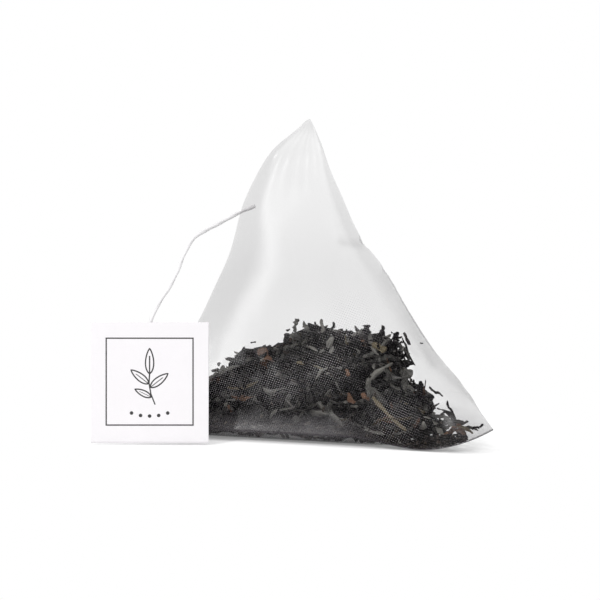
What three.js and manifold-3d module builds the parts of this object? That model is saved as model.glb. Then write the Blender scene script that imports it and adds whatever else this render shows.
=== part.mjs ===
// A pyramid tea bag: a woven mesh pouch of loose leaf tea, with a cotton string and a folded paper tag.
// Millimetres, +Z up, +X to the right, +Y away from the front. The origin is on the floor under the pouch.
import * as THREE from 'three';
import { mergeVertices } from 'three/addons/utils/BufferGeometryUtils.js';
import Module from 'manifold-3d';

const wasm = await Module();
wasm.setup();

// Pouch: a tube of mesh, welded flat across the front of its base and, at right angles, up its back.
const bagWidth = 58.8; // across the front seal, left corner to right corner
const bagHeight = 51.8; // floor to apex
const bagDepth = 52.5; // front seal to back corner, on the floor
const frontSkew = 18; // how much further back the left corner lies than the right one
const frontMiddleY = -16.5;
const apexBack = 27.5; // apex behind the middle of the front seal
const apexSide = -1.2; // apex to the left of the middle of the front seal
const backSide = 8.9; // back corner to the right of the middle of the front seal
const wall = 0.4;
const sealWidth = 1.5;
const sealThickness = 0.8;
const filmLength = 60; // from seal to seal along the mesh

// Softness of the pouch
const foldRoundness = 3.8; // a higher power makes the four soft folds sharper
const foldSharpening = 0.67; // how fast the folds sharpen towards the seals
const sharpestFold = 40; // the highest power, at the seals
const leftFullness = 0.62; // a power below 1 swells that side
const rightFullness = 0.78;
const frontFullness = 1.05;
const baseSag = 4; // how far the tea presses the base down, before the floor flattens it
const sway = { size: 1.4, height: 39.6, spread: 8.3 }; // the empty top leans to the left
const pinch = { size: 1.4, height: 32, spread: 4.8 }; // a dent in the right-hand fold
const cheek = { size: 1.15, height: 8.6, spread: 5 }; // the tea swells the right-hand fold
const neck = { size: 1.6, height: bagHeight, spread: 3.6 }; // the left-hand fold draws in at the apex
const tipCurl = { size: 4, reach: 12.5, height: 9 }; // the right corner curls off the floor
const sealLift = { size: 1.5, from: 18, over: 12 }; // left of the tip, the base sags below the front seal
const liftReach = [0.05, 0.22]; // how far the seal lifts the base and the front, as shares of the film

// Weave: a relief of ridges in the wall, and open gaps
const sideColumns = 12;
const columns = 4 * sideColumns;
const rows = 22;
const ridge = 0.12;
const gapEvery = 3;
const gapLowest = 3; // no gap below this height
const gapNarrowest = 1;
const restPoints = [[35, 2], [27, 2], [30, 20]]; // columns and rows of the base's three resting points
const restRise = [0.01, 0.15]; // how far the base clears the floor inside and outside their triangle

// Tea
const teaClearance = 0.35;
const heap = { height: 15.5, lowest: 1.5, x: 6, y: -1, spread: 27, rough: 1.6, cell: 4 };
const heapFall = 0.45; // the share of its height that the heap loses at its spread
const heapSlope = { from: 16.5, fall: 1.6 }; // right of here the heap drops into the corner
const leafCount = 120;
const leafLength = [8, 14];
const leafRadius = [1.1, 1.8];
const leafEnd = 0.5; // a leaf's thickness at its ends, as a share of that at its middle
const leafBend = 0.15; // the most that a leaf bends sideways, as a share of its length
const leafTilt = THREE.MathUtils.degToRad(60); // the most that a leaf tilts out of level
const leafRelief = 1.6; // how far the leaves stand out of the heap's solid middle
const leafMargin = 0.09; // no leaf starts nearer to a seal than this share of the film
const leafSides = 4;
const leafRings = 2;
const teaSeed = 7;

// Tag: one sheet folded at its bottom edge, with the string between its two plies
const tagWidth = 19.5;
const tagHeight = 20;
const tagPaper = 0.3;
const tagMouth = 1.7; // between the plies at the top
const tagFoldGap = 0.2; // between the plies at the fold
const tagFoldRadius = 0.35;
const tagLean = THREE.MathUtils.degToRad(8);
const tagCentreX = -26.9;
const tagFrontY = -16.8;
const tagLift = 0.1; // the string holds the tag just clear of the floor

// String: from its weld behind the pouch's left fold, down into the tag
const stringDiameter = 0.7;
const stringSides = 8;
const stringSteps = 36;
const stringRoute = [
  [-9.93, 13.9, 36.3], [-11.53, 12.45, 35.81], [-13.0, 10.85, 35.3], [-15.4, 7.5, 34.3], [-17.9, 3.5, 33.4],
  [-19.7, 0.5, 32.6], [-20.8, -1.5, 31.4], [-21.7, -3.7, 29.7], [-22.7, -6.3, 27.3], [-23.7, -8.5, 25.4],
  [-25.1, -10.5, 23.4], [-26.3, -12.0, 21.3], [-26.8, -12.85, 19.7], [-26.9, -13.4, 16.7],
  [-26.9, -14.1, 12.8],
].map((place) => new THREE.Vector3(...place));

// The pouch's four corners
const frontMiddle = new THREE.Vector3(0, frontMiddleY, 0);
const leftCorner = frontMiddle.clone().add(new THREE.Vector3(-bagWidth / 2, frontSkew / 2, 0));
const rightCorner = frontMiddle.clone().add(new THREE.Vector3(bagWidth / 2, -frontSkew / 2, 0));
const apex = frontMiddle.clone().add(new THREE.Vector3(apexSide, apexBack, bagHeight));
const backCorner = frontMiddle.clone().add(new THREE.Vector3(backSide, bagDepth, 0));
const backMiddle = apex.clone().add(backCorner).multiplyScalar(0.5);
const alongFront = rightCorner.clone().sub(leftCorner);
const alongBack = apex.clone().sub(backCorner);
const frontHalf = alongFront.length() / 2;
const backHalf = alongBack.length() / 2;
alongFront.normalize();
alongBack.normalize();

const smooth = (x) => THREE.MathUtils.smoothstep(x, 0, 1);
const bell = (x, { height, spread }) => Math.exp(-(((x - height) / spread) ** 2));

// Seeded random numbers from 0 to 1
function randomFrom(seed) {
  let state = seed;
  return () => {
    state = (state * 1664525 + 1013904223) % 4294967296;
    return state / 4294967296;
  };
}

// A section of the pouch is a rectangle with a front, a right-hand, a base and a left-hand side.
// This gives the place of a column on a square of half side 1 that stands for it.
function squareEdge(column) {
  const side = Math.floor(column / sideColumns);
  const run = 2 * (column / sideColumns - side) - 1;
  return [[run, 1], [1, -run], [-run, -1], [-1, run]][side];
}

// Half the size of the section that lies a share of the way from the front seal to the back one
function halfAcross(along, across) {
  const fullness = across < 0 ? leftFullness : rightFullness;
  return Math.max(frontHalf * (1 - along) ** fullness, sealThickness / 2);
}

function halfUp(along) {
  return Math.max(backHalf * along ** frontFullness, sealThickness / 2);
}

// A point of the pouch's skin, or of a skin that lies inside it by inset
function pouchPoint(column, along, inset) {
  const [a, b] = squareEdge(column);
  const open = 4 * along * (1 - along); // 1 halfway between the seals, 0 at them
  const power = open > 0 ? Math.min(foldRoundness / open ** foldSharpening, sharpestFold) : sharpestFold;
  const round = (Math.abs(a) ** power + Math.abs(b) ** power) ** (-1 / power);
  const across = a * round;
  const up = b * round;
  const point = frontMiddle.clone().lerp(backMiddle, along);
  point.addScaledVector(alongFront, (halfAcross(along, across) - inset) * across);
  point.addScaledVector(alongBack, (halfUp(along) - inset) * up);

  const height = point.z;
  const underside = THREE.MathUtils.clamp(0.5 - 0.5 * up, 0, 1) * (1 - Math.abs(across) ** 3);
  point.x -= sway.size * bell(height, sway);
  const right = Math.max(across, 0) ** 2;
  point.x += right * (cheek.size * bell(height, cheek) - pinch.size * bell(height, pinch));
  point.x += neck.size * bell(height, neck) * Math.min(across, 0) ** 2;
  point.z -= baseSag * Math.sqrt(open) * underside;
  point.z = Math.max(point.z, inset, 0); // the floor flattens the weave's ridges too
  const nearFloor = bell(height, { height: 0, spread: tipCurl.height });
  const curled = Math.max((point.x - rightCorner.x + tipCurl.reach) / tipCurl.reach, 0);
  point.z += tipCurl.size * curled ** 2 * nearFloor;
  const lifted = smooth((sealLift.from - point.x) / sealLift.over);
  const reach = THREE.MathUtils.mapLinear(up, -1, 1, ...liftReach);
  point.z += sealLift.size * lifted * smooth(1 - along / reach);
  return point;
}

// Rows of the mesh from seal to seal, with the first and last row inside the seals
function rowPlaces(count) {
  const seal = sealWidth / filmLength;
  const inner = Array.from({ length: count - 1 }, (_, row) => seal + (1 - 2 * seal) * row / (count - 2));
  return [0, ...inner, 1];
}

function geometryOf(points, triangles) {
  const geometry = new THREE.BufferGeometry();
  geometry.setAttribute('position', new THREE.Float32BufferAttribute(points.flatMap((p) => p.toArray()), 3));
  geometry.setIndex(triangles);
  return geometry;
}

// Triangles over a skin of the pouch, closed across its two flattened ends
function skinTriangles(count, first, isOpen, quad) {
  const at = (col, row) => first + row * columns + (col + 2 * columns) % columns;
  for (let row = 0; row < count - 1; row += 1) {
    for (let col = 0; col < columns; col += 1) {
      if (!isOpen(col, row)) quad(at(col, row), at(col + 1, row), at(col + 1, row + 1), at(col, row + 1));
    }
  }
  const last = count - 1;
  const leftMiddle = -sideColumns / 2;
  const frontMiddleColumn = sideColumns / 2;
  for (let k = 0; k < columns / 2; k += 1) {
    const [p, q] = [leftMiddle - k, leftMiddle + k];
    quad(at(p, 0), at(p - 1, 0), at(q + 1, 0), at(q, 0));
    const [r, s] = [frontMiddleColumn + k, frontMiddleColumn - k];
    quad(at(r, last), at(r + 1, last), at(s - 1, last), at(s, last));
  }
}

// Adds a four-sided face as triangles, leaving out those with no width
function quadInto(triangles, flip) {
  return (p, q, r, s) => {
    for (const [i, j, k] of [[p, q, r], [p, r, s]]) {
      if (i !== j && j !== k && k !== i) triangles.push(...(flip ? [i, k, j] : [i, j, k]));
    }
  };
}

function meshBag() {
  const places = rowPlaces(rows);
  const outer = places.flatMap((along, row) => Array.from({ length: columns }, (_, col) => {
    const raised = row > 1 && row < rows - 1 && (row + col) % 2 ? ridge : 0;
    return pouchPoint(col, along, -raised);
  }));
  const feet = restPoints.map(([col, row]) => outer[row * columns + col]);
  const rest = new THREE.Triangle(...feet.map((foot) => foot.clone().setZ(0)));
  for (const point of outer.filter((each) => !feet.includes(each))) {
    const [inside, outside] = restRise;
    point.z = Math.max(point.z, rest.containsPoint(point.clone().setZ(0)) ? inside : outside);
  }
  const inner = places.slice(1, -1).flatMap((along) => Array.from({ length: columns }, (_, col) => (
    pouchPoint(col, along, wall))));

  const cell = (col, row) => [[col, row], [col + 1, row], [col + 1, row + 1], [col, row + 1]]
    .map(([c, r]) => r * columns + c % columns);
  const span = (p, q) => outer[p].distanceTo(outer[q]);
  const isWide = ([p, q, r, s]) => Math.min(span(p, q), span(r, s)) > gapNarrowest;
  const isGap = (col, row) => row > 1 && row < rows - 3 && row % gapEvery === 0 && col % gapEvery === 1
    && cell(col, row).every((corner) => outer[corner].z > gapLowest) && isWide(cell(col, row));

  const triangles = [];
  skinTriangles(places.length, 0, isGap, quadInto(triangles, false));
  const innerFirst = outer.length;
  skinTriangles(places.length - 2, innerFirst, (col, row) => isGap(col, row + 1), quadInto(triangles, true));

  // The sides of each gap join the two skins
  const edge = quadInto(triangles, false);
  for (let row = 0; row < rows; row += 1) {
    for (let col = 0; col < columns; col += 1) {
      if (isGap(col, row)) {
        const corners = cell(col, row);
        corners.forEach((p, k) => {
          const q = corners[(k + 1) % 4];
          edge(p, q, q - columns + innerFirst, p - columns + innerFirst);
        });
      }
    }
  }
  return geometryOf([...outer, ...inner], triangles);
}

function solidOf(geometry) {
  const bare = geometry.clone();
  bare.deleteAttribute('normal');
  bare.deleteAttribute('uv');
  const merged = mergeVertices(bare);
  const vertProperties = new Float32Array(merged.attributes.position.array);
  const triVerts = new Uint32Array(merged.index.array);
  return new wasm.Manifold(new wasm.Mesh({ numProp: 3, vertProperties, triVerts }));
}

function geometryFrom(solid) {
  const { vertProperties, triVerts } = solid.getMesh();
  const geometry = new THREE.BufferGeometry();
  geometry.setAttribute('position', new THREE.Float32BufferAttribute(vertProperties, 3));
  geometry.setIndex([...triVerts]);
  return geometry;
}

// The outer skin of a solid alone, so that no space stays closed inside it
function outerSkin(geometry) {
  const corners = geometry.index.array;
  const leader = Array.from({ length: geometry.attributes.position.count }, (_, k) => k);
  const shellOf = (corner) => {
    let k = corner;
    while (leader[k] !== k) k = leader[k] = leader[leader[k]];
    return k;
  };
  for (let k = 0; k < corners.length; k += 1) leader[shellOf(corners[k])] = shellOf(corners[k - k % 3]);
  const shells = new Map();
  for (const corner of corners) {
    const shell = shellOf(corner);
    if (!shells.has(shell)) shells.set(shell, []);
    shells.get(shell).push(corner);
  }
  const [largest] = [...shells.values()].sort((p, q) => q.length - p.length);
  return geometry.setIndex(largest);
}

// The room inside the pouch, this far in from its outside
function teaRoom(inset) {
  const places = rowPlaces(rows).slice(2, -2);
  const points = places.flatMap((along) => Array.from({ length: columns }, (_, col) => (
    pouchPoint(col, along, inset))));
  const triangles = [];
  skinTriangles(places.length, 0, () => false, quadInto(triangles, false));
  return solidOf(geometryOf(points, triangles));
}

function heapHeight(x, y) {
  const away = ((x - heap.x) / heap.spread) ** 2 + ((y - heap.y) / heap.spread) ** 2;
  const slope = heapSlope.fall * Math.max(x - heapSlope.from, 0);
  return Math.max(heap.height * (1 - heapFall * away) - slope, heap.lowest);
}

// A random place against the mesh, or on the heap's top where the mesh stands above it
function leafPlace(random, inset) {
  const along = THREE.MathUtils.lerp(leafMargin, 1 - leafMargin, random());
  const place = pouchPoint(columns * random(), along, inset);
  return place.z < heapHeight(place.x, place.y) ? place : heapPlace(random, inset);
}

// A random place on the heap's top, that far inside the pouch
function heapPlace(random, inset) {
  for (;;) {
    const along = random();
    const across = 2 * random() - 1;
    const place = frontMiddle.clone().lerp(backMiddle, along);
    place.addScaledVector(alongFront, (halfAcross(along, across) - inset) * across);
    const up = (heapHeight(place.x, place.y) - place.z) / alongBack.z;
    place.addScaledVector(alongBack, up);
    const isInside = Math.abs(up) < halfUp(along) - inset;
    if (isInside) return place.setZ(heapHeight(place.x, place.y) - heap.rough / 2);
  }
}

// A block with a rough domed top
function heapBlock(random) {
  const depth = 2 * bagDepth;
  const width = 2 * bagWidth;
  const steps = [Math.round(width / heap.cell), Math.round(depth / heap.cell)];
  const block = new THREE.BoxGeometry(width, depth, 1, ...steps, 1);
  const bumps = new Map();
  const position = block.attributes.position;
  for (let k = 0; k < position.count; k += 1) {
    const x = position.getX(k);
    const y = position.getY(k);
    const spot = `${x.toFixed(2)} ${y.toFixed(2)}`;
    if (!bumps.has(spot)) bumps.set(spot, heap.rough / heap.height * (random() - 0.5));
    position.setZ(k, position.getZ(k) > 0 ? heapHeight(x, y) * (1 + bumps.get(spot)) : -bagHeight);
  }
  return solidOf(block);
}

// One leaf, tapered at both ends and bent, with its middle sunk in the heap
function leaf(random) {
  const length = THREE.MathUtils.lerp(...leafLength, random());
  const radius = THREE.MathUtils.lerp(...leafRadius, random());
  const bend = leafBend * length * (2 * random() - 1);
  const shape = new THREE.CylinderGeometry(radius, radius, length, leafSides, leafRings);
  const position = shape.attributes.position;
  for (let k = 0; k < position.count; k += 1) {
    const share = 2 * position.getY(k) / length; // from -1 to 1 along the leaf
    const swell = 1 - (1 - leafEnd) * share ** 2;
    position.setX(k, position.getX(k) * swell + bend * share ** 2);
    position.setZ(k, position.getZ(k) * swell);
  }
  const tilt = Math.PI / 2 + leafTilt * (2 * random() - 1);
  const turn = new THREE.Euler(tilt, 0, 2 * Math.PI * random(), 'ZYX');
  shape.applyMatrix4(new THREE.Matrix4().makeRotationFromEuler(turn));
  const place = leafPlace(random, wall + teaClearance + radius);
  shape.translate(...place.toArray());
  return solidOf(shape);
}

function teaLeaves() {
  const random = randomFrom(teaSeed);
  const inset = wall + teaClearance;
  let pile = heapBlock(random).intersect(teaRoom(inset + leafRelief));
  for (let k = 0; k < leafCount; k += 1) pile = pile.add(leaf(random));
  return outerSkin(geometryFrom(pile.intersect(teaRoom(inset))));
}

function string() {
  const angles = Array.from({ length: stringSides }, (_, k) => 2 * Math.PI * k / stringSides);
  const ring = angles.map((angle) => new THREE.Vector2(Math.cos(angle), Math.sin(angle))
    .multiplyScalar(stringDiameter / 2));
  const extrudePath = new THREE.CatmullRomCurve3(stringRoute);
  return new THREE.ExtrudeGeometry(new THREE.Shape(ring), { steps: stringSteps, extrudePath });
}

// The tag's profile, seen from its side: two plies that spread from the fold
function tag() {
  const bottom = 2 * tagPaper + tagFoldGap;
  const top = 2 * tagPaper + tagMouth;
  const r = tagFoldRadius;
  const profile = new THREE.Shape();
  profile.moveTo(0, tagHeight);
  profile.lineTo(0, r);
  profile.quadraticCurveTo(0, 0, r, 0);
  profile.lineTo(bottom - r, 0);
  profile.quadraticCurveTo(bottom, 0, bottom, r);
  profile.lineTo(top, tagHeight);
  profile.lineTo(top - tagPaper, tagHeight);
  profile.lineTo(bottom - tagPaper, tagPaper);
  profile.lineTo(tagPaper, tagPaper);
  profile.lineTo(tagPaper, tagHeight);
  const options = { depth: tagWidth, bevelEnabled: false, curveSegments: 4 };
  const sheet = new THREE.ExtrudeGeometry(profile, options);
  const [x, y, z] = [[1, 0, 0], [0, 1, 0], [0, 0, 1]].map((axis) => new THREE.Vector3(...axis));
  sheet.applyMatrix4(new THREE.Matrix4().makeBasis(y, z, x));
  return sheet.translate(-tagWidth / 2, 0, 0);
}

function named(name, geometry, look) {
  const mesh = new THREE.Mesh(geometry, new THREE.MeshStandardMaterial(look));
  mesh.name = name;
  return mesh;
}

const teaBag = new THREE.Group();
teaBag.add(named('mesh_bag', meshBag(), { color: 0xe6e6e8, roughness: 0.45, metalness: 0 }));
teaBag.add(named('tea_leaves', teaLeaves(), { color: 0x2a2624, roughness: 0.8, metalness: 0 }));
teaBag.add(named('string', string(), { color: 0xe9e7e3, roughness: 0.9, metalness: 0 }));

const tagMesh = named('tag', tag(), { color: 0xf0eff2, roughness: 0.75, metalness: 0 });
tagMesh.rotation.x = -tagLean;
tagMesh.position.set(tagCentreX, tagFrontY, tagLift + (2 * tagPaper + tagFoldGap) * Math.sin(tagLean));
teaBag.add(tagMesh);

export default teaBag;
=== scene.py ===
import math
import random
import bpy
from mathutils import Matrix, Vector, noise
from mathutils.bvhtree import BVHTree


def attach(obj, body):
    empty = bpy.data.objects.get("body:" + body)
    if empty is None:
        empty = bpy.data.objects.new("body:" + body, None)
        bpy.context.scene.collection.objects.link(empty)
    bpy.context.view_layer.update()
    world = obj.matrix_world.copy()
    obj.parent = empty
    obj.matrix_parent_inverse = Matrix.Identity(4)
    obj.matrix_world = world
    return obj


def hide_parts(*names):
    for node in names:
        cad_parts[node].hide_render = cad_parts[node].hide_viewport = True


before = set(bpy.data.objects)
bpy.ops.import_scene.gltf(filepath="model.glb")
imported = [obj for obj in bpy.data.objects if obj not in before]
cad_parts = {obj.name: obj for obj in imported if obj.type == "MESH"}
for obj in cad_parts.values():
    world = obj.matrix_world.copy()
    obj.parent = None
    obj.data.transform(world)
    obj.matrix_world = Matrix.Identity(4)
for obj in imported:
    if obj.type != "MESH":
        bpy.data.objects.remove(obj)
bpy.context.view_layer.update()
mm = 0.001  # the sizes below are in millimetres
print("frame:", ", ".join(sorted(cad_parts)))


# small helpers
def deselectAll():
    bpy.ops.object.select_all(action="DESELECT")


def makeActive(piece):
    deselectAll()
    piece.select_set(True)
    bpy.context.view_layer.objects.active = piece


def applyModifiers(piece):
    makeActive(piece)
    for modifier in list(piece.modifiers):
        bpy.ops.object.modifier_apply(modifier=modifier.name)


def smoothShade(piece, angle=None):
    makeActive(piece)
    if angle is None:
        bpy.ops.object.shade_smooth()
    else:
        bpy.ops.object.shade_smooth_by_angle(angle=math.radians(angle))


def newPiece(name, points, faces):
    mesh = bpy.data.meshes.new(name)
    mesh.from_pydata(points, [], faces)
    piece = bpy.data.objects.new(name, mesh)
    bpy.context.scene.collection.objects.link(piece)
    return piece


def dress(piece, finish, slot, *nodes):  # finish and body of a piece, and the nodes it stands for; slot is not used
    piece.data.materials.clear()
    piece.data.materials.append(finish.material)
    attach(piece, "root")
    if nodes:
        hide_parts(*nodes)


def smoothStep(x):
    x = min(max(x, 0.0), 1.0)
    return x * x * (3 - 2 * x)


def rise(x, start, over):  # from 0 at the start to 1
    return smoothStep((x - start) / over)


def fall(x, end, over):  # from 1 to 0 at the end
    return smoothStep((end - x) / over)


def mixed(a, b, share):
    return a + (b - a) * share


class Wire:  # a shader value; sums of wires add Math nodes
    def __init__(self, finish, socket):
        self.finish = finish
        self.socket = socket

    def maths(self, operation, *values):
        return self.finish.add("Math", {"operation": operation}, dict(enumerate(values)))

    def __add__(self, other):
        return self.maths("ADD", self, other)

    def __radd__(self, other):
        return self.maths("ADD", other, self)

    def __sub__(self, other):
        return self.maths("SUBTRACT", self, other)

    def __rsub__(self, other):
        return self.maths("SUBTRACT", other, self)

    def __mul__(self, other):
        return self.maths("MULTIPLY", self, other)

    def __rmul__(self, other):
        return self.maths("MULTIPLY", other, self)

    def __truediv__(self, other):
        return self.maths("DIVIDE", self, other)

    def __abs__(self):
        return self.maths("ABSOLUTE", self)

    def nearest(self):
        return self.maths("ROUND", self)

    def cosine(self):
        return self.maths("COSINE", self)

    def larger(self, other):
        return self.maths("MAXIMUM", self, other)

    def clamped(self):
        return self.finish.add("Clamp", {}, {"Value": self})


class Finish:  # a material and the nodes that feed its shader
    def __init__(self, name, **plain):
        self.material = bpy.data.materials.new(name)
        self.material.use_nodes = True
        self.tree = self.material.node_tree
        self.shader = self.tree.nodes["Principled BSDF"]
        for socket, value in plain.items():
            self.shader.inputs[socket.replace("_", " ")].default_value = value

    def add(self, kind, settings, values, out=0):
        node = self.tree.nodes.new("ShaderNode" + kind)
        for key, value in settings.items():
            setattr(node, key, value)
        for key, value in values.items():
            if isinstance(value, Wire):
                self.tree.links.new(value.socket, node.inputs[key])
            else:
                node.inputs[key].default_value = value
        return Wire(self, node.outputs[out])

    def feed(self, socket, wire):
        self.tree.links.new(wire.socket, self.shader.inputs[socket])

    def here(self):
        return self.add("TexCoord", {}, {}, "Object")

    def attribute(self, name, out="Fac"):
        return self.add("Attribute", {"attribute_name": name}, {}, out)

    def part(self, vector, axis):
        return self.add("SeparateXYZ", {}, {"Vector": vector}, axis)

    def noise(self, size, detail=3, place=None):  # size of the largest spots, in mm
        values = {"Vector": place or self.here(), "Scale": 1 / (size * mm), "Detail": detail}
        return self.add("TexNoise", {}, values)

    def blend(self, share, first, second):
        sockets = {0: share, 6: first, 7: second}  # the node's places for colours
        return self.add("Mix", {"data_type": "RGBA"}, sockets, 2)

    def seen(self):  # 1 for what the camera sees, also in a reflection or through glass
        kinds = ["Is Camera Ray", "Is Glossy Ray", "Is Transmission Ray"]
        camera, glossy, through = [self.add("LightPath", {}, {}, kind) for kind in kinds]
        return camera.larger(glossy).larger(through)

    def bump(self, height, depth, strength=1.0):
        values = {"Height": height, "Distance": depth * mm, "Strength": strength}
        self.feed("Normal", self.add("Bump", {}, values))


# camera, level with the photograph's view
view = {
    "target": (-2.0, 0.0, 21.8),  # what the middle of the picture looks at
    "distance": 520,
    "elevation": 8,
    "lens": 183.5,
    "nearest": 10,  # nothing closer than this is drawn
}


def addCamera():
    tilt = math.radians(view["elevation"])
    back = Vector((0, -math.cos(tilt), math.sin(tilt)))
    place = (Vector(view["target"]) + back * view["distance"]) * mm
    bpy.ops.object.camera_add(location=place, rotation=(math.pi / 2 - tilt, 0, 0))
    camera = bpy.context.object
    camera.data.lens = view["lens"]
    camera.data.clip_start = view["nearest"] * mm
    bpy.context.scene.camera = camera


addCamera()
print("camera placed")


# string: two cotton plies twisted together, from its weld behind the left fold into the tag
string = {
    "diameter": 0.7,
    "twist": 9.5,  # length of one turn of the two plies
    "groove": 0.24,  # depth between the plies, as a share of the radius
    "rough": 0.05, "roughAlong": 0.3, "roughAround": 2,  # unevenness, and how quickly it changes
    "step": 0.2, "curveSteps": 24,
    "sides": 20,
    "fibre": 0.12, "fuzz": 0.012, "fuzzStrength": 0.6,
    "shades": ((0.83, 0.82, 0.83, 1), (0.90, 0.89, 0.90, 1)),
    "route": [
        (-9.93, 13.9, 36.3), (-11.53, 12.45, 35.81), (-13.0, 10.85, 35.3),
        (-15.4, 7.5, 34.3), (-17.9, 3.5, 33.4), (-19.7, 0.5, 32.6), (-20.8, -1.5, 31.4),
        (-21.7, -3.7, 29.7), (-22.7, -6.3, 27.3), (-23.7, -8.5, 25.4), (-25.1, -10.5, 23.4),
        (-26.3, -12.0, 21.3), (-26.8, -12.85, 19.7), (-26.9, -13.4, 16.7), (-26.9, -14.1, 12.8),
    ],
}


def smoothRoute(points, step):  # a curve through the points, in even steps
    points = [Vector(p) for p in points]
    ends = [2 * points[0] - points[1]] + points + [2 * points[-1] - points[-2]]
    fine = []
    for a, b, c, d in zip(ends, ends[1:], ends[2:], ends[3:]):
        for k in range(string["curveSteps"]):
            t = k / string["curveSteps"]
            fine.append(0.5 * (2 * b + (c - a) * t + (2 * a - 5 * b + 4 * c - d) * t ** 2
                               + (3 * b - a - 3 * c + d) * t ** 3))
    fine.append(points[-1])
    route = [fine[0]]
    for point in fine:
        while (point - route[-1]).length >= step:
            route.append(route[-1] + (point - route[-1]).normalized() * step)
    return route


def turningFrames(route):  # two directions across the route at each point, turned as little as possible
    across = Vector((0, 0, 1))
    frames = []
    for k, point in enumerate(route):
        ahead = (route[min(k + 1, len(route) - 1)] - route[max(k - 1, 0)]).normalized()
        across = (across - ahead * across.dot(ahead)).normalized()
        frames.append((point, across.copy(), ahead.cross(across)))
    return frames


def sweep(route, radius, sides):  # a tube with closed ends; radius is a function of the step and the angle
    points, faces = [], []
    for k, (point, side, other) in enumerate(turningFrames(route)):
        for s in range(sides):
            angle = 2 * math.pi * s / sides
            points.append(point + radius(k, angle) * (side * math.cos(angle) + other * math.sin(angle)))
    for k in range(len(route) - 1):
        for s in range(sides):
            t = (s + 1) % sides
            faces.append((k * sides + s, k * sides + t, (k + 1) * sides + t, (k + 1) * sides + s))
    faces.append(tuple(reversed(range(sides))))
    faces.append(tuple(range((len(route) - 1) * sides, len(route) * sides)))
    return points, faces


def plyRadius(k, angle):  # two plies side by side, slowly twisted round each other
    turn = 2 * math.pi * k * string["step"] / string["twist"]
    lobes = 1 - string["groove"] * (1 - abs(math.cos(angle - turn)))
    around = string["roughAround"]
    place = Vector((k * string["roughAlong"], around * math.cos(angle), around * math.sin(angle)))
    rough = 1 + string["rough"] * noise.noise(place)
    return string["diameter"] / 2 * lobes * rough


def cottonFinish():
    finish = Finish("twistedCotton", Roughness=0.9, Specular_IOR_Level=0.2)
    fibres = finish.noise(string["fibre"], 4)
    finish.feed("Base Color", finish.blend(fibres, *string["shades"]))
    finish.bump(fibres, string["fuzz"], string["fuzzStrength"])
    return finish


def makeString():
    route = smoothRoute(string["route"], string["step"])
    points, faces = sweep(route, plyRadius, string["sides"])
    piece = newPiece("string_twist", [p * mm for p in points], faces)
    smoothShade(piece)
    dress(piece, cottonFinish(), "cotton", "string")
    route[0] * mm
    [p * mm for p in route]


makeString()


# heap of tea, which presses against the front of the pouch
heap = {
    "top": [  # the heap's outline from the front, as (x, z) places
        (-30, 5), (-17, 9.8), (-13.4, 13.4), (-9.5, 14.9), (-6, 15.6), (-3, 17.6), (1.7, 18.6), (5.8, 17.4),
        (8.9, 17.4), (12.3, 17.1), (15.0, 16.5), (16.6, 14.4), (17.2, 9.6), (19.4, 7.3), (20.6, 5.2),
        (22, 4.4), (25, 2.2), (30, 1.2),
    ],
    "frontY": -12, "slopeBehind": 0.14, "fallBehind": 0.25, "fallReach": 45,
}


def heapTop(x, y):
    top = heap["top"]
    x = min(max(x, top[0][0]), top[-1][0])
    behind = max(y - heap["frontY"], 0)
    for (x0, z0), (x1, z1) in zip(top, top[1:]):
        if x <= x1:
            level = mixed(z0, z1, (x - x0) / (x1 - x0))
            fallen = heap["fallBehind"] * (behind / heap["fallReach"]) ** 2
            return (level - heap["slopeBehind"] * behind) * (1 - fallen)


# pouch: a strip of mesh rolled into a tube, welded across the front of its base and up its back
pouch = {
    "width": 58.8, "height": 51.8, "depth": 52.5,
    "frontSkew": 18, "frontMiddleY": -16.5, "apexBack": 27.5, "apexSide": -1.2, "backSide": 8.9,
    "foldRoundness": 3.8, "foldSharpening": 0.67, "sharpestFold": 40,
    "leftFullness": 0.62, "rightFullness": 0.78, "frontFullness": 1.05,
    "baseSag": 4,
    "sway": (1.4, 39.6, 8.3), "pinch": (1.4, 32, 4.8),  # size, height and spread
    "cheek": (1.15, 8.6, 5), "neck": (0.44, 51.8, 3.4), "peak": (0.95, 51.8, 5),
    "sideEnd": (1, 0.15),  # ends and starts give a place and a length; pinch and cheek end at the back seal
    "tipCurl": (4, 12.5, 9), "sealLift": (1.5, 18, 12), "liftReach": (0.05, 0.22),
    "film": 60, "wall": 0.04,
    "columns": 80, "rows": 130,  # columns on each of the four sides
    "lapStart": 2.5,  # in sides; the film's lap lies under the base
    "joinWithin": 0.001,
    "pleats": 0.07, "pleatReach": 8, "pleatCount": 9, "pleatShift": 3,
    "pleatStart": (0, 2), "pleatEnd": (1, 0.04),
    "slack": 0.3, "slackSize": 9, "slackSeed": (3, 1, 7), "slackStart": (14, 10), "slackEnd": (1, 0.08),
    "leafDents": 0.12, "dentSize": 2.6, "dentTop": (17, 4), "dentFoot": (0.5, 2),
    "dentStart": (0, 0.1), "dentEnd": (1, 0.1),
    "creasedTo": 0.2,  # only what faces the front is creased
    "creases": [  # lines on the front, as (x, z) places, with the fold's width and depth
        {"line": [(12.4, 26.5), (14.8, 23.3), (16.0, 20.9), (17.8, 17.6), (20.1, 13.2)],
         "width": 0.9, "depth": 0.35},
        {"line": [(5.0, 31.9), (7.7, 31.6), (9.4, 31.2)], "width": 0.7, "depth": 0.4},
        {"line": [(15.3, 16.3), (17.5, 14.4)], "width": 0.5, "depth": 0.2},
    ],
}
frontMiddle = Vector((0, pouch["frontMiddleY"], 0))
halfSeal = Vector((pouch["width"] / 2, -pouch["frontSkew"] / 2, 0))
rightCorner = frontMiddle + halfSeal
apex = frontMiddle + Vector((pouch["apexSide"], pouch["apexBack"], pouch["height"]))
backCorner = frontMiddle + Vector((pouch["backSide"], pouch["depth"], 0))
backMiddle = (apex + backCorner) / 2
alongFront = halfSeal.normalized()
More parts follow.
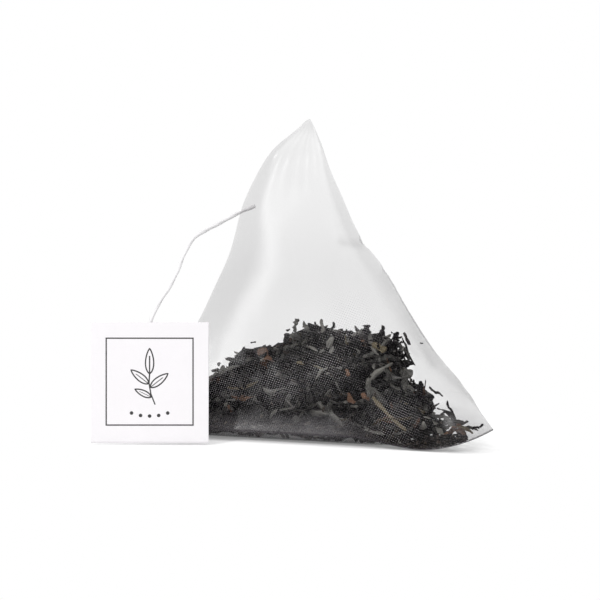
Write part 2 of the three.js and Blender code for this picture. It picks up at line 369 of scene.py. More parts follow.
alongBack = (apex - backCorner).normalized()
backHalf = (apex - backCorner).length / 2


def bell(x, middle, spread):
    return math.exp(-((x - middle) / spread) ** 2)


def squareEdge(side, run):  # a section's place on a square that stands for it
    return [(run, 1), (1, -run), (-run, -1), (-1, run)][side]


def pouchPoint(side, run, along):  # run goes from -1 to 1 on a side, along from the front seal to the back
    a, b = squareEdge(side, run)
    gape = 4 * along * (1 - along)  # 1 halfway between the seals, 0 at them
    power = pouch["sharpestFold"]
    if gape > 0:
        power = min(pouch["foldRoundness"] / gape ** pouch["foldSharpening"], power)
    shrink = (abs(a) ** power + abs(b) ** power) ** (-1 / power)
    across, up = a * shrink, b * shrink
    fullness = pouch["leftFullness"] if across < 0 else pouch["rightFullness"]
    halfAcross = halfSeal.length * (1 - along) ** fullness
    halfUp = backHalf * along ** pouch["frontFullness"]
    point = frontMiddle.lerp(backMiddle, along) + alongFront * halfAcross * across + alongBack * halfUp * up

    height = point.z
    sway, pinch, cheek, neck, peak = [pouch[name][0] * bell(height, *pouch[name][1:])
                                      for name in ("sway", "pinch", "cheek", "neck", "peak")]
    point.x += peak - sway
    point.x += (cheek - pinch) * max(across, 0) ** 2 * fall(along, *pouch["sideEnd"])
    point.x += neck * (apex.x + pouch["peak"][0] - point.x)
    underside = min(max(0.5 - 0.5 * up, 0), 1) * (1 - abs(across) ** 3)
    point.z = max(point.z - pouch["baseSag"] * math.sqrt(gape) * underside, 0)
    size, reach, spread = pouch["tipCurl"]
    point.z += size * max((point.x - rightCorner.x + reach) / reach, 0) ** 2 * bell(height, 0, spread)
    size, start, over = pouch["sealLift"]
    reach = mixed(*pouch["liftReach"], (up + 1) / 2)
    point.z += size * fall(point.x, start, over) * smoothStep(1 - along / reach)
    return point


def filmPlace(column, along):  # side, place on the side, and distance round the film in film lengths
    around = column / pouch["columns"] + pouch["lapStart"]
    side = int(around) % 4
    run = 2 * (around - int(around)) - 1
    lengths = [1 - along, along, 1 - along, along]
    turns = int(around) // 4 - 1
    return side, run, along / 2 + sum(lengths[:side]) + (run + 1) / 2 * lengths[side] + 2 * turns


def offLine(line, x, z):  # distance from a line of points
    nearest = math.inf
    for (x0, z0), (x1, z1) in zip(line, line[1:]):
        run, climb = x1 - x0, z1 - z0
        share = min(max(((x - x0) * run + (z - z0) * climb) / (run ** 2 + climb ** 2), 0), 1)
        nearest = min(nearest, math.hypot(x - x0 - run * share, z - z0 - climb * share))
    return nearest


def creasing(point, normal):  # how deep the front is creased there
    if normal.y > pouch["creasedTo"]:
        return 0
    return max(crease["depth"] * bell(offLine(crease["line"], point.x, point.z), 0, crease["width"])
               for crease in pouch["creases"])


def pleating(point, side, run):  # pleats that fan out from the apex, from -1 to 1
    tip = (point - apex).length
    fan = bell(tip, 0, pouch["pleatReach"]) * rise(tip, *pouch["pleatStart"])
    return fan * math.cos(math.pi * pouch["pleatCount"] * run + pouch["pleatShift"] * side)


def slackness(point, along, side, run):  # how far the film stands off its smooth form
    off = pouch["pleats"] * pleating(point, side, run) * fall(along, *pouch["pleatEnd"])
    free = rise(point.z, *pouch["slackStart"]) * fall(along, *pouch["slackEnd"])
    off += pouch["slack"] * free * noise.noise(point / pouch["slackSize"] + Vector(pouch["slackSeed"]))
    pressed = fall(point.z, *pouch["dentTop"]) * rise(point.z, *pouch["dentFoot"])
    pressed *= rise(along, *pouch["dentStart"]) * fall(along, *pouch["dentEnd"])
    off += pouch["leafDents"] * pressed * noise.noise(point / pouch["dentSize"])
    return off


weave = {
    "warpPitch": 0.35, "weftPitch": 0.44,
    "thread": 0.27, "soft": 0.10,  # width of a thread and of its edge, as shares of the pitch
    "turn": 19,  # degrees, from the film's own direction
    "haze": 0.062, "lines": 0.004, "knots": 0.46,  # how much each covers, on each face of the wall; the crossings are the threads' white with painted glint
    "closed": 0.03, "openSpread": (4, 3.2),
    "open": [(-5.5, 8.8), (2.5, 12), (13.5, 5), (6.5, 19.5), (-14, 9)],  # painted glint on the crossings is strongest at these places
    "ripple": 0.004, "warpRipple": 0.4,
    "spots": 6,  # size of the uneven spots in the finish
    "veil": 0.2, "veilWidth": 5.0, "veilRagged": 0.8,  # the doubled film along the front seal
    "veilEnd": 12, "veilFade": 12, "veilGround": 0.55, "veilThreads": 0.8,
    # painted shade: a dark line along the front seal
    "weldWidth": 0.5, "weld": 0.5,
    "thinShades": ((0.012, 0.007, 0.012, 1), (0.022, 0.013, 0.022, 1)),
    "doubledShade": (0.30, 0.285, 0.30, 1), "threadShade": (0.95, 0.91, 0.95, 1),
    "side": 0.95, "frontEnd": (0.3, 0.3), "rightStart": (-0.1, 0.3),  # from here on, where the haze is denser
    "leftStart": (0.27, 0.15), "leftFoot": 0.4, "leftClimb": (8, 15),
    "top": 0.45, "topStart": (22, 22),
    "tip": 0.8, "tipStart": (18, 7),
    "pressed": 0.1, "pressedEdge": (-1.5, 2),
    # painted shade: the film is darker beneath the bag and where it meets the floor, towards the front
    "under": 0.6, "underStart": (0.15, 0.3), "contact": 3.2, "contactEnd": (1.0, 0.9), "shadeEnd": (16, 10),
    # painted shade along the creases, and painted light and shade along the pleats
    "crease": 2.2, "pleat": 0.15,
    "clouds": 0.2, "cloudSize": 11, "cloudSeed": (5, 2, 9),
}


def thickness(point, normal, side, run):  # how densely the mesh is hazed, where it turns edge-on or is creased; this also holds painted shade along creases, painted light and shade along pleats, and painted shade beneath the bag and where it meets the floor
    facing = fall(normal.y, *weave["frontEnd"])
    turned = rise(-normal.x, *weave["leftStart"])
    turned *= mixed(weave["leftFoot"], 1, rise(point.z, *weave["leftClimb"]))
    turned += rise(normal.x, *weave["rightStart"])
    dense = 1 + weave["side"] * facing * turned - weave["top"] * rise(point.z, *weave["topStart"])
    dense += weave["tip"] * facing * rise(point.x, *weave["tipStart"])
    if normal.y < 0:
        above = point.z - heapTop(point.x, point.y)
        dense *= mixed(weave["pressed"], 1, rise(above, *weave["pressedEdge"]))
    # painted shade beneath the bag and where it meets the floor
    shaded = weave["under"] * rise(-normal.z, *weave["underStart"])
    shaded += weave["contact"] * fall(point.z, *weave["contactEnd"])
    dense += shaded * fall(point.x, *weave["shadeEnd"])
    # painted shade along the creases, and painted light and shade along the pleats
    dense += weave["crease"] * creasing(point, normal) + weave["pleat"] * pleating(point, side, run)
    return dense + weave["clouds"] * noise.noise(point / weave["cloudSize"] + Vector(weave["cloudSeed"]))


def openness(point, normal):  # painted glint: how strongly the bright thread crossings show, most at the listed places
    if normal.y > 0:
        return weave["closed"]
    wide, high = weave["openSpread"]
    spread = [bell(point.x, x, wide) * bell(point.z, z, high) for x, z in weave["open"]]
    return weave["closed"] + (1 - weave["closed"]) * min(sum(spread), 1)


def makePouchMesh():
    columns, rows = 4 * pouch["columns"], pouch["rows"]
    deselectAll()
    bpy.ops.mesh.primitive_grid_add(x_subdivisions=columns, y_subdivisions=rows, size=2)
    piece = bpy.context.object
    piece.name = piece.data.name = "mesh_pouch"
    mesh = piece.data
    mesh.uv_layers[0].name = "film"
    places = []
    for vertex in mesh.vertices:
        column = round((vertex.co.x + 1) / 2 * columns)
        along = (vertex.co.y + 1) / 2
        side, run, around = filmPlace(column, along)
        vertex.co = pouchPoint(side, run, along) * mm
        places.append((side, run, around, along))
    for loop in mesh.loops:
        mesh.uv_layers[0].data[loop.index].uv = places[loop.vertex_index][2:]
    mesh.update()
    normals = [vertex.normal.copy() for vertex in mesh.vertices]
    dense, apart = [], []
    for vertex, normal, (side, run, around, along) in zip(mesh.vertices, normals, places):
        point = vertex.co / mm
        dense.append(thickness(point, normal, side, run))
        apart.append(openness(point, normal))
        off = slackness(point, along, side, run) - creasing(point, normal)
        vertex.co += normal * off * mm
        vertex.co.z = max(vertex.co.z, 0)
    mesh.attributes.new("dense", "FLOAT", "POINT").data.foreach_set("value", dense)
    # apart holds the painted glint of the thread crossings
    mesh.attributes.new("apart", "FLOAT", "POINT").data.foreach_set("value", apart)
    makeActive(piece)
    bpy.ops.object.mode_set(mode="EDIT")
    bpy.ops.mesh.select_all(action="SELECT")
    bpy.ops.mesh.remove_doubles(threshold=pouch["joinWithin"] * mm)
    bpy.ops.object.mode_set(mode="OBJECT")
    return piece


def weaveFinish():
    finish = Finish("wovenMesh", Roughness=0.17, IOR=1.5)
    film = finish.add("UVMap", {"uv_map": "film"}, {})
    around, along = finish.part(film, 0), finish.part(film, 1)
    # apart carries the painted glint of the thread crossings
    dense, apart = finish.attribute("dense"), finish.attribute("apart")
    turn = math.radians(weave["turn"])
    warp = (around * math.cos(turn) - along * math.sin(turn)) * (pouch["film"] / weave["warpPitch"])
    weft = (around * math.sin(turn) + along * math.cos(turn)) * (pouch["film"] / weave["weftPitch"])

    def threadCover(place):  # threads lie at whole numbers of place
        away = abs(place - place.nearest())
        return ((weave["thread"] / 2 - away) / weave["soft"] + 0.5).clamped()

    warpCover, weftCover = threadCover(warp), threadCover(weft)
    clouds = finish.noise(weave["spots"])
    fromSeal = along * pouch["film"]
    sideways = finish.part(finish.here(), 0)
    near = (1 - fromSeal / weave["veilWidth"] + (clouds - 0.5) * weave["veilRagged"]).clamped()
    near = near * ((weave["veilEnd"] * mm - sideways) / (weave["veilFade"] * mm)).clamped()
    veil = weave["veil"] * near * (weave["veilGround"] + weave["veilThreads"] * warpCover)
    # painted shade: a dark line along the front seal
    weld = (1 - fromSeal / weave["weldWidth"]).clamped()
    hazed = weave["haze"] * dense + weave["weld"] * weld
    # bright crossings: the threads' white, with painted glint where the crossings are shown
    knots = weave["knots"] * warpCover * weftCover * apart * (1 - near)
    bright = weave["lines"] * warpCover.larger(weftCover) + knots
    finish.feed("Alpha", 1 - (1 - hazed) * (1 - bright) * (1 - veil))
    thin = finish.blend(clouds, *weave["thinShades"])
    doubled = finish.blend(veil / (veil + hazed), thin, weave["doubledShade"])
    finish.feed("Base Color", finish.blend(bright / (bright + hazed + veil), doubled, weave["threadShade"]))
    waves = (weft * (2 * math.pi)).cosine() + weave["warpRipple"] * (warp * (2 * math.pi)).cosine()
    finish.bump(waves, weave["ripple"])
    return finish


def makePouch():
    piece = makePouchMesh()
    skin = BVHTree.FromObject(piece, bpy.context.evaluated_depsgraph_get())
    solid = piece.modifiers.new("wall", "SOLIDIFY")
    solid.thickness = pouch["wall"] * mm
    solid.offset = -1
    applyModifiers(piece)
    smoothShade(piece)
    dress(piece, weaveFinish(), "woven_mesh", "mesh_bag")
    print("pouch:", len(piece.data.polygons), "faces")
    return skin


skin = makePouch()


# tea: loose leaf that fills the bottom of the pouch
tea = {
    "seed": 11,
    "clearance": 0.12, "tries": 4,  # leaves keep this far inside the mesh, and are pushed in up to this often
    "stray": 0.12,  # a leaf that still stands further outside is left out
    "probe": (0.31, 0.22, 0.92), "probeStep": 0.001,  # a line out of the pouch
    "box": [(-29, 30), (-26, 36), (0.3, 18.5)],  # where leaves are tried, along x, y and z
    "anyTurn": (0, 6.3), "lying": (1, 1, 0.75),  # leaves lie more often than they stand
    "poke": 0.9, "longPoke": 2.4, "pokers": 0.12,  # how far leaves stand out of the heap; a few stand higher
    "shell": 3.4, "inside": 0.3,  # few leaves lie deeper than the shell
    "sunk": 3, "alignWithin": 2, "alignOver": 2.5,  # near the mesh, leaves turn along it
    "inFront": -100,  # placed leaves are found from here
    "darkness": 3,  # most leaves are near the darkest shade
    "leastTone": {"flakes": 0.6, "stems": 0.6},  # of the placed ones
    "smoothAngle": 60,
    "kinds": {
        "twists": {
            "count": 680, "length": (5.0, 11.0), "width": (0.75, 1.45), "flat": (0.6, 0.95), "lobes": 0.22,
            "turns": 1.6, "bend": 0.4, "blunt": 0.5, "crumple": 0.3, "sides": 7, "rings": 9,
        },
        "wires": {
            "count": 760, "length": (3.5, 9.0), "width": (0.45, 0.9), "flat": (0.6, 0.95), "lobes": 0.2,
            "turns": 1.8, "bend": 0.5, "blunt": 0.45, "crumple": 0.25, "sides": 6, "rings": 9,
        },
        "scraps": {
            "count": 130, "length": (3.0, 7.0), "width": (1.4, 2.4), "flat": (0.16, 0.32), "lobes": 0.2,
            "turns": 0.9, "bend": 0.7, "blunt": 0.5, "crumple": 0.45, "sides": 8, "rings": 8,
        },
        "flakes": {
            "count": 70, "length": (1.8, 4.0), "width": (0.8, 1.6), "flat": (0.18, 0.3), "lobes": 0.2,
            "turns": 0.7, "bend": 0.7, "blunt": 0.5, "crumple": 0.35, "sides": 8, "rings": 7,
        },
        "stems": {
            "count": 26, "length": (5.0, 11.0), "width": (0.5, 0.8), "flat": (0.45, 0.8), "lobes": 0.15,
            "turns": 0.5, "bend": 0.4, "blunt": 0.35, "crumple": 0.12, "sides": 6, "rings": 10,
        },
        "dust": {
            "count": 1300, "length": (0.5, 1.5), "width": (0.35, 0.8), "flat": (0.4, 0.8), "lobes": 0.2,
            "turns": 0.4, "bend": 0.3, "blunt": 0.5, "crumple": 0.1, "sides": 5, "rings": 4,
        },
    },
}
shades = {  # darkest and lightest colour of each kind
    "twists": ((0.003, 0.003, 0.003, 1), (0.185, 0.180, 0.165, 1)),
    "wires": ((0.003, 0.003, 0.003, 1), (0.210, 0.203, 0.184, 1)),
    "scraps": ((0.003, 0.003, 0.003, 1), (0.120, 0.117, 0.110, 1)),
    "flakes": ((0.020, 0.011, 0.008, 1), (0.150, 0.085, 0.055, 1)),
    "stems": ((0.035, 0.027, 0.016, 1), (0.155, 0.130, 0.085, 1)),
    "dust": ((0.005, 0.004, 0.004, 1), (0.060, 0.050, 0.042, 1)),
}
placed = {  # leaves that cling to the front: place (x, z), length, width, tilt in degrees
    "flakes": [
        (-11.7, 6.6, 4.2, 0.9, 5), (-13.8, 5.0, 1.6, 0.6, 85), (-7.9, 13.2, 2.6, 1.3, 60),
        (-8.5, 14.0, 2.0, 1.2, -20), (5.9, 11.4, 1.6, 0.7, 75), (6.1, 7.4, 2.2, 1.3, 60),
        (8.7, 7.8, 1.6, 1.2, 30), (12.6, 12.8, 2.4, 0.5, 80), (22.4, 2.9, 3.6, 1.9, -20),
        (23.6, 3.4, 3.0, 1.3, 30),
    ],
    "stems": [(11.0, 15.6, 2.8, 1.3, 35), (12.5, 5.3, 8.5, 0.75, 48), (25.0, 3.9, 3.4, 0.6, 36)],
    "wires": [
        (10.5, 11.6, 6.2, 1.0, -47), (15.8, 17.0, 2.4, 0.8, 65), (15.9, 15.0, 6.0, 0.45, 70),
        (-1.3, 18.4, 1.9, 0.8, 62), (-3.0, 18.6, 2.6, 1.0, -70), (3.2, 18.3, 2.4, 0.7, -80),
        (1.6, 18.6, 2.4, 0.7, -85), (14.0, 17.4, 1.8, 0.9, -50), (11.6, 18.0, 2.2, 1.1, -60),
        (8.9, 18.4, 1.6, 1.5, -80), (20.4, 9.0, 3.0, 0.6, 40), (22.4, 7.0, 2.4, 0.5, 70),
        (26.6, 4.2, 1.2, 0.6, 10), (27.4, 4.6, 1.0, 0.5, -50),
    ],
    "scraps": [(22.6, 5.8, 4.6, 1.0, 52), (20.6, 4.6, 3.6, 1.4, 20), (21.4, 2.4, 3.6, 1.6, 8)],
    "dust": [(18.4, 16.2, 0.6, 0.4, 0)],
}
fines = {  # broken leaf in the narrow wedge behind the front seal
    "count": 1500, "along": (0.002, 0.05), "across": (-0.97, 0.86), "between": (0.1, 0.9),
    "nearSeal": 1.5,  # above 1, more of it lies near the seal
    "size": (0.35, 1.0), "long": 1.6, "wide": 0.8, "clearance": 0.06,
    "lying": (1, 0.4, 0.4),  # most lie along x
}
leafForm = {  # the waves and wrinkles that all leaves have
    "swell": (0.22, 4.1), "ripple": (0.12, 9.7),  # size, and pace along the leaf
    "lobes": 3, "lobeTurn": 2, "leanPace": 2.6,
    "wrinklePace": 0.9, "grainPace": 0.3, "spread": 90,  # the spread keeps the leaves' noise apart
}
leafLook = {
    "toneShare": 0.9, "ribShare": 1.1, "darker": 0.62,
    "ribSize": 0.35, "ribDepth": 0.22, "ribStrength": 0.9,
}


def inward(point):  # depth inside the mesh, and the way out
    place, normal = skin.find_nearest(point * mm)[:2]
    return (place / mm - point).dot(normal), normal


def isInside(point):  # a line out of the pouch crosses the mesh an odd number of times
    place, crossings = point * mm, 0
    way = Vector(tea["probe"])
    while place is not None:
        place = skin.ray_cast(place, way)[0]
        if place is not None:
            crossings += 1
            place += way * tea["probeStep"] * mm
    return crossings % 2 == 1


def sticksOut(point):  # clear of the pouch on its outside
    away = skin.find_nearest(point * mm)[3]
    return away > tea["stray"] * mm and not isInside(point)


def keepInside(point, clearance):
    place, normal = skin.find_nearest(point * mm)[:2]
    place = place / mm
    if (place - point).dot(normal) < clearance:
        point = place - normal * clearance
    return Vector((point.x, point.y, max(point.z, clearance)))


def settled(points, clearance):  # a leaf pushed in whole until the mesh is clear of it
    for again in range(tea["tries"]):
        depths = [inward(point) for point in points]
        least, out = min(depths, key=lambda depth: depth[0])
        if least >= clearance:
            return points
        points = [point - out * (clearance - least) for point in points]
    return [keepInside(point, clearance) for point in points]


def leafBlank(sides, rings):  # a ball that each leaf is drawn out from; its points keep one order
    deselectAll()
    bpy.ops.mesh.primitive_uv_sphere_add(segments=sides, ring_count=rings, radius=1)
    ball = bpy.context.object
    order = sorted(ball.data.vertices, key=lambda v: [round(part, 4) for part in v.co])
    rank = {v.index: k for k, v in enumerate(order)}
    points = [(math.atan2(v.co.y, v.co.x), v.co.z, math.hypot(v.co.x, v.co.y)) for v in order]
    faces = []
    for face in ball.data.polygons:
        corners = [rank[i] for i in face.vertices]
        first = corners.index(min(corners))
        faces.append(tuple(corners[first:] + corners[:first]))
    bpy.data.objects.remove(ball)
    return points, sorted(faces)


def leafPoints(blank, kind, dice, length, width):  # one twisted, crumpled leaf along Z, and its grain
    flat = dice.uniform(*kind["flat"])
    turns = dice.uniform(-1, 1) * kind["turns"] * math.pi
    bend = dice.uniform(-1, 1) * kind["bend"] * length / 2
    lean = dice.uniform(-1, 1) * kind["bend"] * length / 4
    phase = dice.uniform(*tea["anyTurn"])
    apart = Vector((dice.uniform(0, leafForm["spread"]), dice.uniform(0, leafForm["spread"]), 0))
    swellSize, swellPace = leafForm["swell"]
    rippleSize, ripplePace = leafForm["ripple"]
    points, grain = [], []
    for angle, share, radius in blank:
        waves = 1 + swellSize * math.sin(swellPace * share + phase)
        waves += rippleSize * math.sin(ripplePace * share)
        swell = radius ** kind["blunt"] * waves
        lobes = math.cos(leafForm["lobes"] * angle + leafForm["lobeTurn"] * share + phase)
        fat = width / 2 * swell * (1 + kind["lobes"] * lobes)
        x, y = fat * math.cos(angle), fat * flat * math.sin(angle)
        turn = turns * share
        point = Vector((
            x * math.cos(turn) - y * math.sin(turn) + bend * share ** 2,
            x * math.sin(turn) + y * math.cos(turn) + lean * math.sin(leafForm["leanPace"] * share),
            share * length / 2))
        points.append(point + kind["crumple"] * noise.noise_vector(point * leafForm["wrinklePace"] + apart))
        grain.append(Vector((x, y, leafForm["grainPace"] * share * length / 2)) + apart)
    return points, grain


def leafFinish(name):
    finish = Finish("tea" + name.capitalize(), Roughness=0.5, Specular_IOR_Level=0.05)
    tone = finish.attribute("tone")
    ribs = finish.noise(leafLook["ribSize"], 4, finish.attribute("grain", "Vector"))
    pale = (tone * leafLook["toneShare"] + ribs * leafLook["ribShare"] - leafLook["darker"]).clamped()
    finish.feed("Base Color", finish.blend(pale, *shades[name]))
    finish.bump(ribs, leafLook["ribDepth"], leafLook["ribStrength"])
    return finish


class Leaves:  # many leaves that become one piece
    def __init__(self, name, kind):
        self.name, self.kind = name, kind
        self.blank, self.sides = leafBlank(kind["sides"], kind["rings"])
        self.points, self.faces, self.tones, self.grain = [], [], [], []

    def add(self, dice, spot, way, length, width, clearance=tea["clearance"], leastTone=0):
        spin = Matrix.Rotation(dice.uniform(*tea["anyTurn"]), 3, "Z")
        turn = way.to_track_quat("Z", "X").to_matrix() @ spin
        points, grain = leafPoints(self.blank, self.kind, dice, length, width)
        tone = mixed(leastTone, 1, dice.random() ** tea["darkness"])
        points = settled([spot + turn @ point for point in points], clearance)
        if any(sticksOut(point) for point in points):
            return
        self.faces += [tuple(i + len(self.points) for i in face) for face in self.sides]
        self.points += points
        self.grain += grain
        self.tones += [tone] * len(points)

    def finish(self):
        piece = newPiece("tea_" + self.name, [p * mm for p in self.points], self.faces)
        piece.data.attributes.new("tone", "FLOAT", "POINT").data.foreach_set("value", self.tones)
        flat = [part * mm for place in self.grain for part in place]
        piece.data.attributes.new("grain", "FLOAT_VECTOR", "POINT").data.foreach_set("vector", flat)
        smoothShade(piece, tea["smoothAngle"])
        dress(piece, leafFinish(self.name), "tea", "tea_leaves")
        print(f"tea {self.name}: {len(self.faces)} faces")


def scatter(leaves, dice):
    kind = leaves.kind
    made = 0
    while made < kind["count"]:
        spot = Vector([dice.uniform(*span) for span in tea["box"]])
        length, width = dice.uniform(*kind["length"]), dice.uniform(*kind["width"])
        way = Vector([dice.gauss(0, spread) for spread in tea["lying"]]).normalized()
        poke = tea["longPoke"] if dice.random() < tea["pokers"] else tea["poke"]
        chance = dice.random()
        tips = [spot + way * length * share for share in (-0.5, 0, 0.5)]
        if max(tip.z - heapTop(tip.x, tip.y) for tip in tips) > poke - width / 2:
            continue
        depth, out = inward(spot)
        below = heapTop(spot.x, spot.y) - spot.z
        if depth < width / tea["sunk"] or min(depth, below) > tea["shell"] and chance > tea["inside"]:
            continue
        made += 1
        if depth < tea["alignWithin"]:
            way -= out * way.dot(out) * (1 - depth / tea["alignOver"])
        leaves.add(dice, spot, way, length, width)


def clingLeaves(leaves, dice):
    for x, z, length, width, tilt in placed.get(leaves.name, []):
        place, normal = skin.ray_cast(Vector((x, tea["inFront"], z)) * mm, Vector((0, 1, 0)))[:2]
        across = Vector((1, 0, 0)) - normal * normal.x
        upward = normal.cross(across)
        angle = math.radians(tilt)
        way = across * math.cos(angle) - upward * math.sin(angle)
        spot = place / mm - normal * width / tea["sunk"]
        leaves.add(dice, spot, way, length, width, leastTone=tea["leastTone"].get(leaves.name, 0))


def fillWedge(leaves, dice):
    for k in range(fines["count"]):
        along = mixed(*fines["along"], dice.random() ** fines["nearSeal"])
        across = dice.uniform(*fines["across"])
        front, base = pouchPoint(0, across, along), pouchPoint(2, -across, along)
        base.z = max(base.z, pouchPoint(0, across, 0).z)
        size = min(dice.uniform(*fines["size"]), (front - base).length)
        way = Vector([dice.gauss(0, spread) for spread in fines["lying"]]).normalized()
        spot = front.lerp(base, dice.uniform(*fines["between"]))
        leaves.add(dice, spot, way, size * fines["long"], size * fines["wide"], fines["clearance"])


def makeTea():
    dice = random.Random(tea["seed"])
    noise.seed_set(tea["seed"])  # the leaves' wrinkles are the same in each run
    for name, kind in tea["kinds"].items():
        leaves = Leaves(name, kind)
        clingLeaves(leaves, dice)
        scatter(leaves, dice)
        if name == "dust":
            fillWedge(leaves, dice)
        leaves.finish()


makeTea()


# tag: one sheet of paper folded at its bottom edge over the end of the string
tag = {
    "width": 19.5, "height": 20, "paper": 0.3, "mouth": 1.7, "foldGap": 0.2,
    "lean": 8, "centreX": -26.9, "frontY": -16.8, "lift": 0.1,
    "steps": 24, "foldSteps": 8, "smoothAngle": 40,
    "curl": 0.12, "curlStill": 0.4,  # the square of the place that doesn't move
    "rim": 0.03,
    "fibre": 0.35, "fibreShare": 0.4, "fibreDepth": 0.015, "fibreStrength": 0.5,
    "cloud": 3.5, "cloudShare": 0.6,
    "shades": ((0.865, 0.845, 0.865, 1), (0.925, 0.905, 0.925, 1)),
}


def paperFinish():
    finish = Finish("tagPaper", Roughness=0.72, Specular_IOR_Level=0.3)
    fibres = finish.noise(tag["fibre"], 5)
    clouds = finish.noise(tag["cloud"])
    shade = (fibres * tag["fibreShare"] + clouds * tag["cloudShare"]).clamped()
    finish.feed("Base Color", finish.blend(shade, *tag["shades"]))
    finish.bump(fibres, tag["fibreDepth"], tag["fibreStrength"])
    return finish


def tagProfile():  # the middle of the paper, from the front ply's top round the fold to the back ply's top
    half = tag["paper"] / 2
    bend = (tag["foldGap"] + tag["paper"]) / 2
    front = [(half, z) for z in (tag["height"] + (half + bend - tag["height"]) * k / tag["steps"]
                                 for k in range(tag["steps"] + 1))]
    fold = [(half + bend - bend * math.cos(math.pi * k / tag["foldSteps"]),
             half + bend - bend * math.sin(math.pi * k / tag["foldSteps"]))
            for k in range(1, tag["foldSteps"])]
    low = half + 2 * bend
    high = tag["mouth"] + tag["paper"] + half
    back = [(mixed(low, high, k / tag["steps"]), mixed(half + bend, tag["height"], k / tag["steps"]))
            for k in range(tag["steps"] + 1)]
    return front + fold + back


def tagPlace(x, y, z):  # from the tag's own upright frame to the object's
    lean = math.radians(tag["lean"])
    lift = tag["lift"] + (2 * tag["paper"] + tag["foldGap"]) * math.sin(lean)
    return Vector((tag["centreX"] + x,
                   tag["frontY"] + y * math.cos(lean) + z * math.sin(lean),
                   lift - y * math.sin(lean) + z * math.cos(lean)))


def tagCurl(x, z):  # the paper bows a little towards its top; x runs from -1 to 1
    return tag["curl"] * (x ** 2 - tag["curlStill"]) * (z / tag["height"]) ** 2


def makeTag():
    profile = tagProfile()
    deselectAll()
    bpy.ops.mesh.primitive_grid_add(x_subdivisions=tag["steps"], y_subdivisions=len(profile) - 1, size=2)
    piece = bpy.context.object
    piece.name = piece.data.name = "paper_tag"
    for vertex in piece.data.vertices:
        y, z = profile[round((vertex.co.y + 1) / 2 * (len(profile) - 1))]
        x = vertex.co.x
        y += tagCurl(x, z)
        vertex.co = tagPlace(x * tag["width"] / 2, y, z) * mm
    solid = piece.modifiers.new("paper", "SOLIDIFY")
    solid.thickness = tag["paper"] * mm
    solid.offset = 0
    rim = piece.modifiers.new("cut edge", "BEVEL")
    rim.width = tag["rim"] * mm
    rim.segments = 1
    applyModifiers(piece)
    smoothShade(piece, tag["smoothAngle"])
    dress(piece, paperFinish(), "paper", "tag")
    print("tag:", len(piece.data.polygons), "faces")


makeTag()


# print on the tag: a plain sprig in a frame, over a row of dots
sprig = {
    "ink": 0.02, "line": 0.22,
    "shades": ((0.030, 0.029, 0.030, 1), (0.075, 0.073, 0.075, 1)),
    "wear": 0.3, "roughness": 0.5, "worn": 0.25,
    "frame": 14.6, "middle": (0, 10.2), "frameCuts": 9,
    "stem": [(0.9, 6.4), (0.2, 8.2), (-0.1, 10.0), (0, 11.6)],
    "leaves": [  # foot (x, z), length, width and turn in degrees from upright
        (0, 11.4, 4.4, 1.9, 0), (-0.1, 9.8, 3.9, 1.7, 52),
        (0.05, 9.2, 3.9, 1.7, -52), (0.35, 7.6, 3.2, 1.4, 64),
    ],
    "leafCorners": 36, "taper": 0.35, "pointed": 0.35, "vein": 0.7,  # the vein is a share of the leaf
    "dots": [(-3.0, 5.0), (-1.5, 4.6), (0, 4.5), (1.5, 4.6), (3.0, 5.0)],
    "dotRadius": 0.3, "dotCorners": 20,
}


def keepRim(width):  # leaves only the rim of the active flat shape
    bpy.ops.object.mode_set(mode="EDIT")
    bpy.ops.mesh.select_all(action="SELECT")
    bpy.ops.mesh.inset(thickness=width)
    bpy.ops.mesh.delete(type="FACE")
    bpy.ops.object.mode_set(mode="OBJECT")


def flatDisc(corners, radius):  # a flat round shape in the XZ plane, in millimetres
    deselectAll()
    upright = (math.pi / 2, 0, 0)
    bpy.ops.mesh.primitive_circle_add(vertices=corners, radius=radius, fill_type="NGON", rotation=upright)
    bpy.ops.object.transform_apply(location=False, rotation=True, scale=False)
    return bpy.context.object


def printFrame():
    frameLine = flatDisc(4, sprig["frame"] / math.sqrt(2))
    for vertex in frameLine.data.vertices:
        vertex.co = Matrix.Rotation(math.pi / 4, 3, "Y") @ vertex.co
        vertex.co.x += sprig["middle"][0]
        vertex.co.z += sprig["middle"][1]
    keepRim(sprig["line"])
    bpy.ops.object.mode_set(mode="EDIT")
    bpy.ops.mesh.select_all(action="SELECT")
    bpy.ops.mesh.subdivide(number_cuts=sprig["frameCuts"])
    bpy.ops.object.mode_set(mode="OBJECT")
    return frameLine


def printLeaf(x, z, length, width, turn):
    leaf = flatDisc(sprig["leafCorners"], 1)
    for vertex in leaf.data.vertices:
        share = (vertex.co.z + 1) / 2
        tapered = vertex.co.x * (1 - sprig["taper"] * share)
        slim = tapered * math.sqrt(max(1 - vertex.co.z ** 2, 0)) ** sprig["pointed"]
        turned = Matrix.Rotation(math.radians(-turn), 3, "Y") @ Vector((slim * width / 2, 0, share * length))
        vertex.co = turned + Vector((x, 0, z))
    keepRim(sprig["line"])
    return leaf


def printStroke(line):
    deselectAll()
    bpy.ops.mesh.primitive_grid_add(x_subdivisions=1, y_subdivisions=len(line) - 1, size=2)
    stroke = bpy.context.object
    for vertex in stroke.data.vertices:
        x, z = line[round((vertex.co.y + 1) / 2 * (len(line) - 1))]
        vertex.co = Vector((x + vertex.co.x * sprig["line"] / 2, 0, z))
    return stroke


def inkFinish():
    finish = Finish("printInk", Roughness=0.6, Specular_IOR_Level=0.3)
    wear = finish.noise(sprig["wear"], 4)
    finish.feed("Base Color", finish.blend(wear, *sprig["shades"]))
    finish.feed("Roughness", sprig["roughness"] + sprig["worn"] * wear)
    return finish


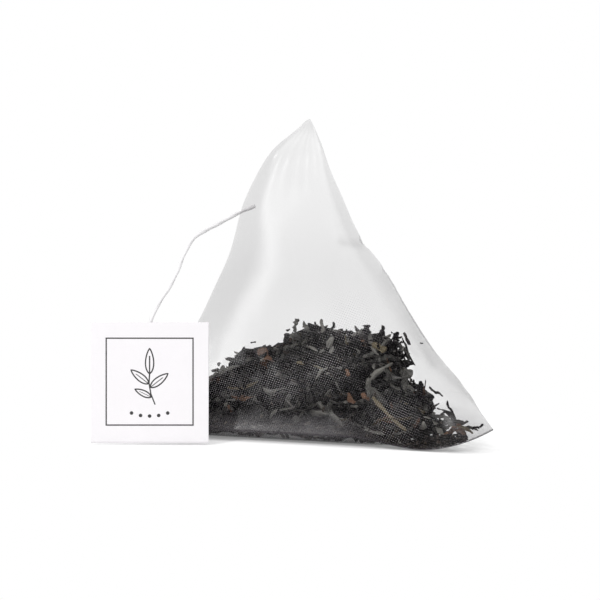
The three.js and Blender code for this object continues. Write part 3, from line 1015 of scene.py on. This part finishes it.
def makePrint():
    shapes = [printFrame(), printStroke(sprig["stem"])]
    for x, z, length, width, turn in sprig["leaves"]:
        tip = Matrix.Rotation(math.radians(-turn), 3, "Y") @ Vector((0, 0, length * sprig["vein"]))
        shapes += [printLeaf(x, z, length, width, turn), printStroke([(x, z), (x + tip.x, z + tip.z)])]
    for x, z in sprig["dots"]:
        dot = flatDisc(sprig["dotCorners"], sprig["dotRadius"])
        for vertex in dot.data.vertices:
            vertex.co += Vector((x, 0, z))
        shapes.append(dot)
    deselectAll()
    for shape in shapes:
        shape.select_set(True)
    piece = bpy.context.view_layer.objects.active = shapes[0]
    bpy.ops.object.join()
    piece.name = piece.data.name = "tag_print"
    for vertex in piece.data.vertices:
        x, y, z = vertex.co
        vertex.co = tagPlace(x, tagCurl(x / (tag["width"] / 2), z), z) * mm
    solid = piece.modifiers.new("ink", "SOLIDIFY")
    solid.thickness = sprig["ink"] * mm
    solid.offset = 0
    applyModifiers(piece)
    dress(piece, inkFinish(), "paper")
    print("print:", len(piece.data.polygons), "faces")


makePrint()


# floor, lamps and world
studio = {  # places and sizes of the stage are in metres
    "floorSize": 6, "floorHeight": -0.0002, "floorShade": (0.9, 0.9, 0.9, 1),
    "floorGlow": 0.2, "whiteFrom": 0.030, "whiteTo": 0.044,  # further out, the floor is plain white
    "skyLight": 0.80,
    "films": 32,  # how many see-through faces a line of sight may pass
    "aim": (0, 0, 0.02),
    "lamps": {
        "top": {"place": (-0.15, 0.05, 1.10), "size": 0.9, "power": 1.6},
        "frontLeft": {"place": (-0.675, -0.562, 0.782), "size": 0.10, "power": 4.4},
    },
}


def makeFloor():
    deselectAll()
    bpy.ops.mesh.primitive_plane_add(size=studio["floorSize"], location=(0, 0, studio["floorHeight"]))
    floor = bpy.context.object
    floor.name = "floor"
    finish = Finish("paleFloor", Roughness=0.9, Base_Color=studio["floorShade"])
    away = finish.add("VectorMath", {"operation": "LENGTH"}, {0: finish.here()}, "Value")
    far = finish.add("MapRange", {"interpolation_type": "SMOOTHSTEP"}, {
        "Value": away, "From Min": studio["whiteFrom"], "From Max": studio["whiteTo"]})
    seen = finish.seen()
    lit = finish.add("Emission", {}, {"Strength": seen * studio["floorGlow"]})
    near = finish.add("AddShader", {}, {0: Wire(finish, finish.shader.outputs[0]), 1: lit})
    white = finish.add("Emission", {}, {"Strength": 1.0})
    both = finish.add("MixShader", {}, {0: far * seen, 1: near, 2: white})
    finish.tree.links.new(both.socket, finish.tree.nodes["Material Output"].inputs["Surface"])
    floor.data.materials.append(finish.material)


def makeLights():
    for name, lamp in studio["lamps"].items():
        place = Vector(lamp["place"])
        aim = (Vector(studio["aim"]) - place).to_track_quat("-Z", "Y").to_euler()
        bpy.ops.object.light_add(type="AREA", location=place, rotation=aim)
        light = bpy.context.object
        light.name = name
        light.data.size = lamp["size"]
        light.data.energy = lamp["power"]
    world = bpy.data.worlds.new("studio")
    bpy.context.scene.world = world
    world.use_nodes = True
    tree = world.node_tree
    path = tree.nodes.new("ShaderNodeLightPath")
    level = tree.nodes.new("ShaderNodeMapRange")
    level.inputs["To Min"].default_value = studio["skyLight"]
    level.inputs["To Max"].default_value = 1
    tree.links.new(path.outputs["Is Camera Ray"], level.inputs["Value"])
    tree.links.new(level.outputs[0], tree.nodes["Background"].inputs["Strength"])
    tree.nodes["Background"].inputs["Color"].default_value = (1, 1, 1, 1)
    bpy.context.scene.cycles.transparent_max_bounces = studio["films"]
    bpy.context.scene.view_settings.view_transform = "Standard"


makeFloor()
makeLights()
print("stage lit")
